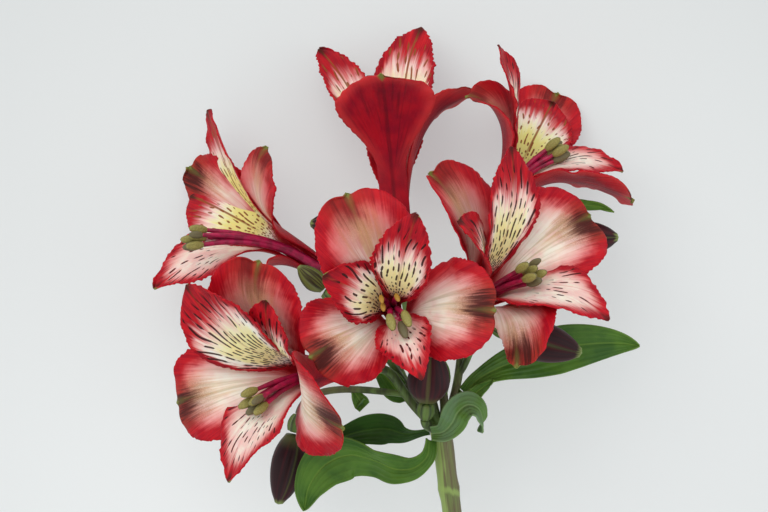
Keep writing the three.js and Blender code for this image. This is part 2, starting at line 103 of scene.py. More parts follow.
class Field:  # one output of a node, with arithmetic
    def __init__(self, paint, node, output=0):
        self.paint, self.made = paint, node
        self.socket = node.outputs[output] if node.outputs else None

    def out(self, name):
        return Field(self.paint, self.made, name)

    def math(self, operation, *others):
        return self.paint.math(operation, self, *others)

    def __add__(self, other):
        return self.math("ADD", other)

    def __sub__(self, other):
        return self.math("SUBTRACT", other)

    def __rsub__(self, other):
        return self.paint.math("SUBTRACT", other, self)

    def __mul__(self, other):
        return self.math("MULTIPLY", other)

    def __truediv__(self, other):
        return self.math("DIVIDE", other)

    def __abs__(self):
        return self.math("ABSOLUTE")

    __radd__, __rmul__ = __add__, __mul__


class Paint:  # one material; its colours go on in coats, over a base
    def __init__(self, name, look, base):
        self.material = bpy.data.materials.new(name)
        self.material.use_nodes = True
        self.tree = self.material.node_tree
        self.tree.nodes.clear()
        self.look, self.coat = look, look[base]

    def node(self, kind, settings=None, inputs=None):
        made = self.tree.nodes.new(kind)
        for key, value in (settings or {}).items():
            setattr(made, key, value)
        for key, value in (inputs or {}).items():
            if isinstance(value, Field):
                self.tree.links.new(value.socket, made.inputs[key])
            else:
                made.inputs[key].default_value = value
        return Field(self, made)

    def math(self, operation, *values):
        return self.node("ShaderNodeMath", {"operation": operation}, dict(enumerate(values)))

    def rise(self, value, low, high):  # 0 below low, 1 above high
        return self.node("ShaderNodeMapRange", {"interpolation_type": "SMOOTHSTEP"},
                         {"Value": value, "From Min": low, "From Max": high})

    def fall(self, value, low, high):  # 1 below low, 0 above high
        return 1 - self.rise(value, low, high)

    def mix(self, share, first, second):
        return self.node("ShaderNodeMix", {"data_type": "RGBA"}, {0: share, 6: first, 7: second}).out(2)

    def lay(self, share, colour):  # one more coat: a name in the look, or a mixed colour
        self.coat = self.mix(share, self.coat, self.look[colour] if isinstance(colour, str) else colour)

    def join(self, x, y, z=0.0):
        return self.node("ShaderNodeCombineXYZ", None, {0: x, 1: y, 2: z})

    def split(self, vector):
        apart = self.node("ShaderNodeSeparateXYZ", None, {0: vector})
        return [apart.out(i) for i in range(3)]

    def grain(self, vector, scale=1.0, detail=0.0):
        return self.node("ShaderNodeTexNoise", {"noise_dimensions": "3D"},
                         {"Vector": vector, "Scale": scale, "Detail": detail})

    def parts(self, name):  # the three numbers of a vector attribute
        return self.split(self.node("ShaderNodeAttribute", {"attribute_name": name}).out("Vector"))

    def place(self):
        return self.node("ShaderNodeTexCoord").out("Object")

    def finish(self, roughness, height, depth, strength, **fixed):
        bump = self.node("ShaderNodeBump", None, {"Height": height, "Strength": strength, "Distance": depth})
        shader = self.node("ShaderNodeBsdfPrincipled", None,
                           {"Base Color": self.coat, "Roughness": roughness, "Normal": bump, **fixed})
        self.node("ShaderNodeOutputMaterial", None, {0: shader})
        return self.material


tepalLook = {
    **tints(red=0x9C041C, scarlet=0xC01420, crimson=0x8E061C, rose=0xD46470, cream=0xF3E8D9, blush=0xECC4BC,
            white=0xFDF6EC, yellow=0xEEDF74, vein=0xA9A078, spot=0x3A120E, brown=0x7E4028, green=0x76803C,
            dash=0x32080C, dashBelow=0x561416, rib=0x8A4A20, back=0x8A0220, backRed=0xAC0A20, backDark=0x540216,
            backLight=0xD23A3A, flush=0xD84E56, tube=0x4A1018, olive=0x6A622A, sand=0xCFA66A, dusk=0xB8605A),
    "throat": 0.3, "veinRun": 56,  # where the veins part, as a share of the length, and how long they run
    "laneWidth": 0.08, "dashPitch": 10.5, "dashFull": 0.14, "dashSoft": 0.035, "dashWidest": 0.022,
    "roughness": 0.4, "roughSpread": 0.22, "bumpDepth": 0.0004, "bumpStrength": 0.6,
    "surface": {"Specular IOR Level": 0.16, "Subsurface Weight": 0.3, "Subsurface Radius": (1.0, 0.4, 0.3),
                "Subsurface Scale": 0.0015},
}


class Tepal(Paint):  # with the numbers that every tepal's colours are made from
    def __init__(self, name, base, blotched, low, high):
        super().__init__(name, tepalLook, base)
        self.across, self.along, self.edge = self.parts("flat")
        self.u, self.t, self.seed = self.parts("part")
        self.aside, self.fromTip = abs(self.across), 1 - self.t
        rising = (self.t - self.look["throat"]) * self.look["veinRun"]
        self.angle = self.across.math("ARCTAN2", rising)
        self.reach = (self.across * self.across + rising * rising).math("SQRT")
        self.streaks = self.veined(24, 0.06, 7, 3)
        self.fine = self.veined(70, 0.12, 4, 2)
        self.blotches = self.grain(self.join(self.across * 0.22, self.along * 0.16, self.seed * 5), detail=3)
        self.cells = self.grain(self.join(self.across * 4, self.along * 2.4, self.seed), detail=2)
        self.streak, self.fleck, self.blotch = self.streaks - 0.5, self.fine - 0.5, self.blotches - 0.5
        self.lay(self.rise(self.blotches, low, high), blotched)

    def veined(self, lanes, run, shift, detail):  # a grain drawn out along the veins
        return self.grain(self.join(self.angle * lanes, self.reach * run, self.seed * shift), detail=detail)

    def margin(self, low, high, feather):  # 1 in the red margin, 0 inside it
        ragged = self.streak * feather + self.fleck * feather * 1.4 + self.blotch * 4.5
        return self.fall(self.edge + ragged, low, high)

    def red(self, deep):  # striped along the veins
        share = self.rise(self.streaks * 0.6 + self.blotches * 0.4 + self.fleck * 0.5, 0.32, 0.7)
        return self.mix(share, self.look[deep], self.look["scarlet"])

    def dashes(self, floor):  # broken lines along lanes that part at the throat
        look = self.look
        warp = self.grain(self.join(self.across * 0.09, self.along * 0.09, self.seed * 3))
        lane = self.angle / look["laneWidth"] + warp * 2
        index = lane.math("FLOOR")
        off = abs(lane - index - 0.5)
        far = (self.reach + 3).math("LOGARITHM", math.e)
        beat = self.grain(self.join(index * 7.31, far * look["dashPitch"], self.seed * 5))
        held = beat.math("MINIMUM", floor + look["dashFull"])
        return self.rise(held - floor - off * (self.reach + 10) * look["dashWidest"], 0.0, look["dashSoft"])

    def darkTip(self):
        return self.fall(self.fromTip + self.aside * 0.03 + self.fleck * 0.06, 0.02, 0.09)

    def done(self):
        look = self.look
        height = self.streaks * 0.7 + self.fine * 0.35 + self.cells * 0.3
        return self.finish(look["roughness"] + self.cells * look["roughSpread"], height,
                           look["bumpDepth"], look["bumpStrength"], **look["surface"])


def outerFace(name, roseShare, spotShare):
    face = Tepal(name, "cream", "blush", 0.4, 0.72)
    veins = face.veined(20, 0.03, 9, 2)
    middle = face.fall(abs(face.u), 0.2, 0.8)
    face.lay(face.fall(veins, 0.3, 0.5) * 0.45, "white")
    face.lay(face.rise(veins, 0.48, 0.66) * (middle * 0.42 + 0.05), "vein")
    face.lay(face.rise(face.fine, 0.45, 0.75) * 0.12, "rose")
    face.lay(face.fall(face.t + face.streak * 0.3, 0.2, 0.52) * 0.8, "rose")
    face.lay(face.rise(face.t + face.fleck * 0.5, 0.4, 0.8) * roseShare, "dusk")
    beard = face.aside * 0.09 + face.fromTip * 3.4 + face.streak * 1.6 + face.fleck
    face.lay(face.fall(beard, 0.5, 1.6) * 0.65, "sand")
    face.lay(face.margin(4.2, 10.5, 1.4) * 0.85, "flush")
    face.lay(face.margin(3.0, 7.0, 1.6), face.red("red"))
    behind = (face.fromTip - 0.08) * 8.4
    side = face.rise(face.grain(face.seed * 91), 0.42, 0.58) * 3.2 - 1.6  # towards one side of the midline
    off = (face.across + side) * 0.2 + face.blotch * 0.7
    smudge = (behind * behind + off * off) * 0.8 + face.streak * 1.6 + face.fleck * 1.8
    speckle = face.rise(face.cells + face.fleck * 0.6, 0.35, 0.6)
    face.lay(face.fall(smudge, 0.6, 3.2) * spotShare * (speckle * 0.35 + 0.25), "brown")
    face.lay(face.fall(smudge, 0.0, 1.2) * spotShare, "spot")
    stripe = face.aside * 0.8 + face.fromTip * 7 + face.fleck * 0.8
    face.lay(face.fall(stripe, 0.3, 1.6) * 0.3, "green")
    knob = face.aside * 1.3 + face.fromTip * 45 + face.fleck * 0.6
    face.lay(face.fall(knob, 0.5, 1.5) * 0.9, "green")
    return face.done()


def upperFace(name, yellowShare, spread, ribShare, floor, dash, redFrom):
    face = Tepal(name, "white", "cream", 0.4, 0.7)
    middle = face.fall(abs(face.u) + face.blotch * 0.35, spread - 0.25, spread)
    fading = face.fall(face.t + face.streak * 0.2, 0.62, 0.8)
    yellow = face.rise(face.t, 0.36, 0.48) * fading * middle
    face.lay(yellow * (yellowShare + face.fleck * 0.3), "yellow")
    face.lay(face.fall(face.t, 0.26, 0.42) * 0.6, "rose")
    red = face.red("crimson")
    tipward = face.t + face.streak * 0.2 + face.fleck * 0.1
    face.lay(face.rise(tipward, redFrom - 0.08, redFrom + 0.12) * 0.8, "flush")
    face.lay(face.margin(0.8, 3.8, 1.8) * 0.65, "flush")
    face.lay(face.margin(1.2, 2.8, 2.6), red)
    face.lay(face.rise(tipward, redFrom, redFrom + 0.13), red)
    face.lay(face.fall(face.aside, 0.15, 0.5) * face.rise(face.t, 0.42, 0.6) * ribShare, "rib")
    shown = face.rise(face.edge, 0.4, 1.2) * face.fall(face.t, 0.88, 0.96) * face.rise(face.t, 0.24, 0.32)
    face.lay(face.dashes(floor) * shown * 0.95, dash)
    face.lay(face.darkTip() * 0.85, "spot")
    return face.done()


def lowerFace():
    face = Tepal("lowerTepalFace", "cream", "blush", 0.35, 0.65)
    face.lay(face.rise(face.streaks, 0.52, 0.72) * 0.35, "rose")
    face.lay(face.fall(face.t, 0.2, 0.5) * 0.7, "rose")
    red = face.red("red")
    face.lay(face.margin(1.2, 7.0, 1.8) * 0.8, "flush")
    face.lay(face.margin(1.0, 4.2, 2.0), red)
    face.lay(face.rise(face.t + face.streak * 0.4, 0.84, 0.97), red)
    shown = face.rise(face.t, 0.58, 0.66) * face.fall(face.t, 0.9, 0.96) * face.rise(face.edge, 0.4, 1.2)
    face.lay(face.dashes(0.49) * shown, "dashBelow")
    face.lay(face.darkTip() * 0.8, "spot")
    return face.done()


def tepalBack():
    face = Tepal("tepalBack", "back", "backRed", 0.3, 0.7)
    face.lay(face.rise(face.streaks, 0.5, 0.75) * 0.5, "backDark")
    rib = face.fall(face.aside, 0.2, 1.0)
    face.lay(rib * 0.5, "backDark")
    edge = face.fall(face.edge + face.streak * 2, 0.2, 5.0)
    face.lay(edge * 0.65 * face.rise(face.t, 0.15, 0.6), "backLight")
    foot = face.fall(face.t + face.blotch * 0.1, 0.02, 0.26)
    face.lay(foot * 0.8, "tube")
    face.lay(foot * rib * 0.8, "olive")
    face.lay(face.fall(face.aside * 0.6 + face.fromTip * 20, 0.5, 1.5), "green")
    return face.done()


leafLook = {
    **tints(green=0x527A26, dark=0x325A1C, light=0x7FA040, shade=0x223F14, under=0x62805A, underLight=0x93AE72),
    "surface": {"Specular IOR Level": 0.22},
}


def leafFace(name, main, deep, vein, roughness):
    paint = Paint(name, leafLook, main)
    across, along, edge = paint.parts("flat")
    u, seed = paint.parts("part")[::2]
    clouds = paint.grain(paint.join(across * 0.14, along * 0.09, seed * 5), detail=3)
    bands = paint.grain(paint.join(u * 5, along * 0.02, seed * 3), detail=1)
    lines = (u * 22 + bands * 5).math("SINE")
    paint.lay(paint.rise(clouds, 0.3, 0.7), deep)
    paint.lay(paint.rise(lines, 0.3, 1.0) * 0.06, vein)
    rib = paint.fall(abs(across), 0.1, 0.5)
    paint.lay(rib * 0.3, vein)
    paint.lay(paint.fall(edge, 0.05, 0.4) * 0.3, vein)
    cells = paint.grain(paint.join(across * 5, along * 2, seed), detail=2)
    return paint.finish(roughness + cells * 0.15, lines * 0.3 - rib + cells * 0.2, depth=0.0003, strength=0.6,
                        **leafLook["surface"])


budLook = {
    **tints(skin=0x260C12, red=0x431219, green=0x5E6B34, seam=0x86934A, tip=0x7A8A4C, olive=0x6E7434),
    "surface": {"Specular IOR Level": 0.25},
}


def budSkin(name, skin, red, seam):
    paint = Paint(name, budLook, skin)
    around, t, seed = paint.parts("part")  # around: 0 in the middle of a lobe, 1 at a seam
    ribs = paint.grain(paint.join(around * 5, t * 0.8, seed * 4), detail=2)
    paint.lay(paint.rise(ribs, 0.4, 0.7), red)
    paint.lay(paint.rise(around + (ribs - 0.5) * 0.2, 0.84, 1.0) * 0.4, seam)
    paint.lay(paint.fall(t, 0.0, 0.22) * 0.6, "green")
    paint.lay(paint.rise(t + (ribs - 0.5) * 0.15, 0.9, 0.99), "tip")
    return paint.finish(0.42 + ribs * 0.2, ribs, depth=0.0003, strength=0.5, **budLook["surface"])


stemLook = {
    **tints(olive=0x6E7540, green=0x5C7A34, brown=0x5C4C32, pale=0x9CA070, dark=0x38471F, sheath=0x93AE58,
            ovary=0x5E7A30, ovaryDark=0x344A1C, magenta=0xB4124C, filamentDeep=0x860E38, anther=0x857D3C,
            style=0xCDB3A6, antherYoung=0xB8882A, antherDark=0x585040, pollen=0x9A914E),
    "slant": 0.109, "middle": 17.0,  # the stalk's middle line, in millimetres
    "scars": (6.2, -33.1, -74.6, -118.0),  # where leaves have been stripped
}


def pedicelSkin():
    paint = Paint("pedicelSkin", stemLook, "green")
    spot = paint.place()
    drawnOut = paint.node("ShaderNodeMapping", None, {"Vector": spot, "Scale": (500, 90, 500)})
    streaks = paint.grain(drawnOut, 1.0, 3)
    paint.lay(paint.rise(streaks, 0.35, 0.65), "dark")
    paint.lay(paint.rise(paint.grain(spot, 60.0, 2), 0.45, 0.7) * 0.7, "brown")
    return paint.finish(0.42 + streaks * 0.2, streaks, depth=0.0002, strength=0.5)


def stalkSkin():  # brown-green, painted lighter along its left side where the light falls, with pale scars where leaves were stripped
    paint = Paint("stalkSkin", stemLook, "olive")
    spot = paint.place()
    x, y = (part * 1000 for part in paint.split(spot)[:2])  # in millimetres
    across = x + y * stemLook["slant"] - stemLook["middle"]
    streaks = paint.grain(paint.join(across * 1.1, y * 0.03), detail=3)
    fine = paint.grain(paint.join(across * 4.5, y * 0.12, 3.0), detail=2)
    clouds = paint.grain(spot, 55.0, 2)
    paint.lay(paint.rise(streaks, 0.35, 0.65), "brown")
    paint.lay(paint.rise(clouds, 0.5, 0.75) * 0.6, "green")
    # painted light: a lighter strip along the left side, facing the light
    ragged = across + (streaks - 0.5) * 3.5 + (clouds - 0.5) * 3
    paint.lay(paint.fall(ragged, -1.1, 0.1) * 0.8, "sheath")
    paint.lay(paint.rise(fine, 0.55, 0.75) * 0.3, "pale")
    for place in stemLook["scars"]:
        off = y - place + across * 0.35 + (streaks - 0.5) * 3
        paint.lay(paint.fall(abs(off), 0.3, 1.6) * 0.65, "sheath")
    return paint.finish(0.42 + fine * 0.2, fine + streaks, depth=0.0002, strength=0.5)


def ovarySkin():
    paint = Paint("ovarySkin", stemLook, "ovary")
    around, t, seed = paint.parts("part")
    spots = paint.grain(paint.join(around * 3, t * 4, seed * 3), detail=2)
    paint.lay(paint.rise(around, 0.45, 0.95), "ovaryDark")
    paint.lay(paint.rise(spots, 0.5, 0.75) * 0.5, "brown")
    return paint.finish(0.4 + spots * 0.2, spots, depth=0.0002, strength=0.4)


def threadSkin(name, main, second, scale, roughness, spread):
    paint = Paint(name, stemLook, main)
    streaks = paint.grain(paint.place(), scale, 2)
    paint.lay(paint.rise(streaks, 0.35, 0.65), second)
    return paint.finish(roughness + streaks * spread, streaks, depth=0.0001, strength=0.4)


def antherSkin():
    paint = Paint("antherSkin", stemLook, "anther")
    around, tone = paint.parts("part")[::2]
    grains = paint.grain(paint.place(), 2600.0, 2)
    paint.lay(paint.rise(grains, 0.4, 0.65), "pollen")
    paint.lay(paint.rise(around, 0.7, 0.95) * 0.7, "antherDark")
    paint.lay(paint.rise(tone, 0.3, 0.5) * 0.75, "antherDark")
    paint.lay(paint.rise(tone, 0.7, 0.9) * 0.85, "antherYoung")
    return paint.finish(0.5 + grains * 0.25, grains, depth=0.00015, strength=0.6)


finishes = {
    "outerFace": outerFace("outerTepalFace", roseShare=0.0, spotShare=0.92),
    "medianFace": outerFace("medianTepalFace", roseShare=0.6, spotShare=0.5),
    "upperFace": upperFace("upperTepalFace", yellowShare=0.65, spread=0.74, ribShare=0.3, floor=0.42,
                           dash="dash", redFrom=0.74),
    "blotchedFace": upperFace("blotchedTepalFace", yellowShare=0.85, spread=0.9, ribShare=0.9, floor=0.49,
                              dash="rib", redFrom=0.76),
    "lowerFace": lowerFace(),
    "tepalBack": tepalBack(),
    "leafFace": leafFace("leafFace", "green", "dark", "light", 0.34),
    # painted shade: a darker copy of the leaf finish, for the leaf that lies in shadow beneath the blooms
    "paintedShadeLeaf": leafFace("paintedShadeLeafFace", "dark", "shade", "green", 0.4),
    "leafUnder": leafFace("leafUnderside", "under", "green", "underLight", 0.45),
    "bud": budSkin("budSkin", "skin", "red", "green"),
    "youngBud": budSkin("youngBudSkin", "olive", "skin", "seam"),
    "ovary": ovarySkin(),
    "filament": threadSkin("filamentSkin", "magenta", "filamentDeep", scale=420.0, roughness=0.38, spread=0.1),
    "style": threadSkin("styleSkin", "style", "magenta", scale=500.0, roughness=0.4, spread=0.15),
    "anther": antherSkin(),
    "stalk": stalkSkin(),
    "pedicel": pedicelSkin(),
}
print("materials made:", len(finishes))


def added(name, operator, **settings):
    bpy.ops.object.select_all(action="DESELECT")
    operator(**settings)
    piece = bpy.context.object
    piece.name = name
    return piece


def storeVectors(mesh, name, values):
    attribute = mesh.attributes.new(name, "FLOAT_VECTOR", "POINT")
    attribute.data.foreach_set("vector", [number for value in values for number in value])


def select(pieces):
    bpy.ops.object.select_all(action="DESELECT")
    for piece in pieces:
        piece.select_set(True)
    bpy.context.view_layer.objects.active = pieces[0]


def joined(pieces, name):
    select(pieces)
    if len(pieces) > 1:
        bpy.ops.object.join()
    pieces[0].name = name
    pieces[0].data.name = name
    return pieces[0]


def shadeSmooth(piece):
    select([piece])
    bpy.ops.object.shade_smooth()


def blade(name, rows, columns, pointAt, thickness, face, back, seed):
    piece = added(name, bpy.ops.mesh.primitive_grid_add, x_subdivisions=columns, y_subdivisions=rows, size=2)
    mesh = piece.data
    flat, part = [], []
    for vertex in mesh.vertices:
        u, s = vertex.co.x, (vertex.co.y + 1) / 2
        point, acrossMm, alongMm, edgeMm, t = pointAt(u, s)
        vertex.co = placed(point)
        flat.append((acrossMm, alongMm, edgeMm))
        part.append((u, t, seed))
    storeVectors(mesh, "flat", flat)
    storeVectors(mesh, "part", part)
    for finish in (face, back):
        mesh.materials.append(finishes[finish])
    solid = piece.modifiers.new("thickness", "SOLIDIFY")
    solid.thickness = thickness * millimetre
    solid.offset = 0
    solid.material_offset = 1
    solid.use_quality_normals = True
    bpy.ops.object.modifier_apply(modifier=solid.name)
    shadeSmooth(piece)
    return piece


def roundBody(name, foot, axis, length, radiusAt, segments, rings, finish, seed, lobes, spin=0.0):
    piece = added(name, bpy.ops.mesh.primitive_uv_sphere_add, segments=segments, ring_count=rings, radius=1)
    first, second = sideways(axis)
    part = []
    for vertex in piece.data.vertices:
        x, y, z = vertex.co
        t = 1 - math.acos(min(max(z, -1.0), 1.0)) / math.pi
        angle = math.atan2(y, x)
        radius = 0 if abs(z) > 0.99999 else radiusAt(t, angle)  # 0 at the poles
        outward = first * math.cos(angle) + second * math.sin(angle)
        vertex.co = placed(Vector(foot) + axis * (length * t) + outward * radius)
        around = abs((((angle - spin) * lobes / (2 * math.pi)) % 1.0) - 0.5) * 2
        part.append((around, t, seed))
    storeVectors(piece.data, "part", part)
    piece.data.materials.append(finishes[finish])
    shadeSmooth(piece)
    return piece


def tube(name, points, radii, finish, handles=None, sides=3, steps=8):
    piece = added(name, bpy.ops.curve.primitive_bezier_curve_add)
    line = piece.data.splines[0]
    line.bezier_points.add(len(points) - 2)
    for i, knot in enumerate(line.bezier_points):
        knot.co = placed(points[i])
        knot.radius = radii[i]
        knot.handle_left_type = knot.handle_right_type = "AUTO" if handles is None else "FREE"
    if handles:
        first, last = line.bezier_points[0], line.bezier_points[-1]
        first.handle_left, first.handle_right = placed(points[0]), placed(handles[0])
        last.handle_left, last.handle_right = placed(handles[1]), placed(points[-1])
    piece.data.bevel_depth = millimetre
    piece.data.bevel_resolution = sides
    piece.data.resolution_u = steps
    piece.data.use_fill_caps = True
    bpy.ops.object.convert(target="MESH")
    piece = bpy.context.object
    bpy.ops.object.mode_set(mode="EDIT")
    bpy.ops.mesh.select_all(action="SELECT")
    bpy.ops.mesh.remove_doubles(threshold=tiny)
    bpy.ops.mesh.normals_make_consistent(inside=False)
    bpy.ops.object.mode_set(mode="OBJECT")
    piece.data.transform(piece.matrix_world)
    piece.matrix_world.identity()
    piece.data.materials.clear()
    piece.data.materials.append(finishes[finish])
    shadeSmooth(piece)
    return piece


def handOver(piece, slot, *nodes):
    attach(piece, "root")
    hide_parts(*nodes)


tepalKinds = {  # millimetres and degrees; curl is how far it leans from the bloom's axis, claw to tip
    "outer": dict(length=58, width=31, claw=0.12, grows=0.12, widest=0.7, blunt=2.4, sharp=0.5, cup=14, ring=3.1,
        tooth=0.5, curl=[4, 9, 32, 64, 98], wave=0.8, notch=1.7),
    "upper": dict(length=60, width=19, claw=0.16, grows=0.26, widest=0.72, blunt=1.8, sharp=0.7, cup=20,
        ring=2.3, tooth=0.85, curl=[2, 4, 16, 44, 62], wave=0.7, notch=0),
    "lower": dict(length=55, width=18, claw=0.16, grows=0.2, widest=0.66, blunt=1.5, sharp=0.85, cup=14,
        ring=2.3, tooth=0.75, curl=[3, 8, 34, 62, 86], wave=0.7, notch=0),
}

tepalPlan = {  # kind, and clock angle about the axis as seen from the front
    "median": ("outer", 0),
    "rightUpper": ("upper", 42),
    "leftUpper": ("upper", -42),
    "rightLateral": ("outer", 108),
    "leftLateral": ("outer", -108),
    "bottom": ("lower", 180),
}

tepalMesh = {"rows": 160, "columns": 22, "thickness": 0.42, "gap": 0.3, "samples": 240,
             "crowding": 1.35, "leastHalf": 0.12, "turnFrom": 0.2, "turnOver": 0.7, "shiftSpan": (0.15, 0.65),
             "tubeOpen": 0.3, "tubeSettled": 0.62, "tubeCurve": 0.62, "rimFrom": 0.82,
             "toothPitch": 0.9, "toothRise": 0.2, "scallop": 0.6, "scallopPitch": 4.3,
             "waves": 16, "waveShift": 1.7, "ruffleDepth": 1.12, "rufflePitch": 4.0,
             "swell": 0.35, "swellAcross": 7, "swellAlong": 9, "notchWidth": 3.6, "nub": 1.1, "nubWidth": 0.8}

blooms = {  # seat: where the tepals meet; faces: the axis; up: towards the median tepal
    "bloom_front": dict(
        seat=(3.7, -19.8, 58), faces=(-0.05, 0.17, 0.98), up=(-0.309, 0.951, 0),
        stamens=dict(reach=[0.4, 12, 23, 31], drop=[0, 0.3, 2, 6.5], nod=1.6, places=[(-0.5, 0.5, 1, 1, 0),
                    (0.9, 0.4, 1, 1, 0), (0.3, -0.2, 1.03, 1, 0.5), (-0.67, 2, 0.75, 0.55, 1),
                    (0.7, 1.7, 0.75, 0.55, 1), (-0.75, 1.2, 0.7, 0.55, 1)]),
        tepals=dict(
          median=dict(azimuth=-4, length=60, face="medianFace"),
          rightUpper=dict(azimuth=38, curl=[2, 4, 14, 43, 63], length=62),
          leftUpper=dict(azimuth=-52, length=48, curl=[2, 5, 18, 44, 64]),
          rightLateral=dict(azimuth=119, width=32, length=52, lean=-8, curl=[4, 11, 36, 66, 98],
              fold=(-8, -8)),
          leftLateral=dict(azimuth=-112, width=32, length=48, lean=8, curl=[4, 11, 36, 66, 98],
              fold=(-16, -16)),
          bottom=dict(length=50, curl=[2, 6, 26, 54, 82], azimuth=176))),
    "bloom_lower_left": dict(
        seat=(-8.8, -35.2, 57), faces=(-0.79, -0.02, 0.62), up=(0.06, 0.98, 0.13),
        stamens=dict(near=0.5, spread=2.2, drop=[0, 1, 4, 9]),
        tepals=dict(
          median=dict(width=32, length=64, azimuth=9, twist=-38, shift=(0, 0, -9), face="medianFace"),
          leftUpper=dict(width=28, length=65, azimuth=-38, curl=[2, 6, 24, 54, 72], shift=(0, 0, 2)),
          rightUpper=dict(azimuth=16, curl=[2, 4, 20, 56, 78], length=52, width=17, twist=-20),
          leftLateral=dict(length=63, azimuth=-113, curl=[4, 10, 34, 66, 98], fold=(-6, -6)),
          rightLateral=dict(azimuth=104, curl=[4, 12, 46, 86, 108], length=60, width=32, twist=-26),
          bottom=dict(width=28, length=60, curl=[3, 7, 29, 57, 80], shift=(0.4, -0.8, -0.5)))),
    "bloom_mid_left": dict(
        seat=(-18.5, -5.4, 20), faces=(-0.8, 0.53, 0.22), up=(0.53, 0.84, 0),
        stamens=dict(reach=[0.4, 15, 31, 40], drop=[0, 1.5, 8, 14.5], sway=[0, 3, 8, 10], spread=1.4),
        tepals=dict(
          median=dict(curl=[4, 5, 10, 44, 60, 88], length=49, azimuth=8, width=25, twist=-38, fold=(-10, 0),
              shift=(-4, 1.5, 0), lean=16, blunt=1.8, sharp=0.7, halves=(0.62, 1), face="medianFace"),
          leftUpper=dict(azimuth=-106, lean=6, curl=[2, 6, 20, 42, 58], width=26, length=54, fold=(-8, -8),
              face="blotchedFace"),
          rightUpper=dict(azimuth=-24, curl=[2, 6, 20, 40, 43], length=66, twist=4, shift=(-1.5, -0.5, -7),
              face="blotchedFace"),
          leftLateral=dict(azimuth=-86, curl=[4, 10, 28, 44, 54], length=58, width=20, twist=10,
              shift=(-1, 3, 1)),
          rightLateral=dict(azimuth=156, curl=[4, 14, 60, 100, 120], length=40, width=20),
          bottom=dict(length=60, width=24, azimuth=-178, curl=[3, 9, 35, 60, 78], twist=34,
              shift=(0, -1, -2)))),
    "bloom_right": dict(
        seat=(21.7, -23.3, 49.2), faces=(0.45, 0.6, 0.66), up=(-0.74, 0.67, -0.1),
        stamens=dict(reach=[0.4, 13, 25, 35], drop=[0, 0.5, 4, 8.5]),
        tepals=dict(
          median=dict(length=60, curl=[4, 12, 36, 62, 92], azimuth=-2, fold=(20, 6), face="medianFace"),
          rightUpper=dict(length=67, azimuth=34),
          leftUpper=dict(length=55, azimuth=-38, curl=[2, 4, 16, 44, 66]),
          rightLateral=dict(length=62, azimuth=103, width=33),
          leftLateral=dict(azimuth=-128, width=29, length=56, curl=[4, 12, 44, 86, 112], twist=-66,
              halves=(1, 0.35), fold=(-14, 0), lean=-5),
          bottom=dict(width=28, length=64, azimuth=184, curl=[3, 7, 30, 58, 84], shift=(0.3, -0.9, -0.3)))),
    "bloom_top_right": dict(
        seat=(33.6, 8.9, 25), faces=(0.43, 0.87, 0.12), up=(-0.9, 0.44, 0),
        stamens=dict(reach=[0.4, 12, 21, 28], drop=[0, 1, 4.2, 9], spread=1.3),
        tepals=dict(
          median=dict(length=49, curl=[4, 8, 22, 58, 116], azimuth=-6, twist=26, fold=(24, 10), width=25,
              blunt=1.7, sharp=0.8, face="medianFace"),
          rightUpper=dict(azimuth=92, curl=[2, 8, 26, 46, 64], length=52, width=24, fold=(-12, -12),
              face="blotchedFace"),
          leftUpper=dict(azimuth=-12, curl=[2, 6, 20, 38, 44], length=60, twist=20),
          rightLateral=dict(azimuth=92, curl=[6, 16, 35, 46, 54], length=57, width=26, face="medianFace"),
          leftLateral=dict(azimuth=-163, curl=[5, 19, 58, 80, 86], length=53, width=23, twist=18),
          bottom=dict(length=52, width=23, curl=[3, 7, 32, 66, 92], twist=-22, shift=(0, -1.5, 0)))),
    "bloom_top_back": dict(
        seat=(4.5, 5.1, 30), faces=(-0.08, 0.985, -0.14), up=(-0.05, 0.17, 0.98),
        stamens=dict(reach=[0.4, 10, 18, 25], drop=[0, 0, -0.5, 0], near=0.4, spread=1.2),
        tepals=dict(
          median=dict(length=61, width=32, claw=0.3, grows=0.36, widest=0.74, blunt=1.3, sharp=0.95,
              curl=[4, 9, 30, 54, 72]),
          rightUpper=dict(length=71, azimuth=118, curl=[2, 7, 17, 28, 40], twist=38, width=17,
              face="blotchedFace"),
          leftUpper=dict(length=73, azimuth=-132, curl=[2, 4, 9, 18, 34], twist=-40, width=20,
              face="blotchedFace"),
          leftLateral=dict(azimuth=-92, curl=[4, 9, 24, 50, 92], twist=12, width=15, fold=(10, 10)),
          rightLateral=dict(azimuth=172, curl=[4, 9, 14, 18, 22], length=44, width=14),
          bottom=dict(azimuth=202, length=50, curl=[3, 10, 18, 24, 30], width=15))),
}


def halfWidth(form, t):
    grown = form["claw"] + (1 - form["claw"]) * smooth(t, form["grows"], form["widest"])
    past = max(0.0, (t - form["widest"]) / (1 - form["widest"]))
    end = max(1 - past ** form["blunt"], 0.0) ** form["sharp"]
    return form["width"] / 2 * grown * end


def edgeDistance(half, u, remaining):  # about how far a point lies from the outline
    least = 1e-4
    side = max(half * (1 - abs(u)), least)
    return 1 / math.sqrt(1 / side ** 2 + 1 / max(remaining, least) ** 2)


def midline(form, bloom):  # places and frames at even steps along a tepal
    look = tepalMesh
    axis, top, right = frameOf(bloom["faces"], bloom["up"])
    outward = turned(top, right, math.radians(form["azimuth"]))[0]
    centre = Vector(bloom["seat"]) + outward * form["ring"] + axis * look["gap"]
    steps = look["samples"]
    line = []
    for i in range(steps + 1):
        t = i / steps
        along, normal = turned(axis, outward, math.radians(through(form["curl"], t)))
        face = -normal
        side = along.cross(face)
        along, side = turned(along, side, math.radians(form["lean"]) * t)
        twist = math.radians(form["twist"]) * smooth((t - look["turnFrom"]) / look["turnOver"])
        side, face = turned(side, face, twist)
        line.append((centre + Vector(form["shift"]) * smooth(t, *look["shiftSpan"]), side, face, along))
        centre = centre + along * (form["length"] / steps)
    return line


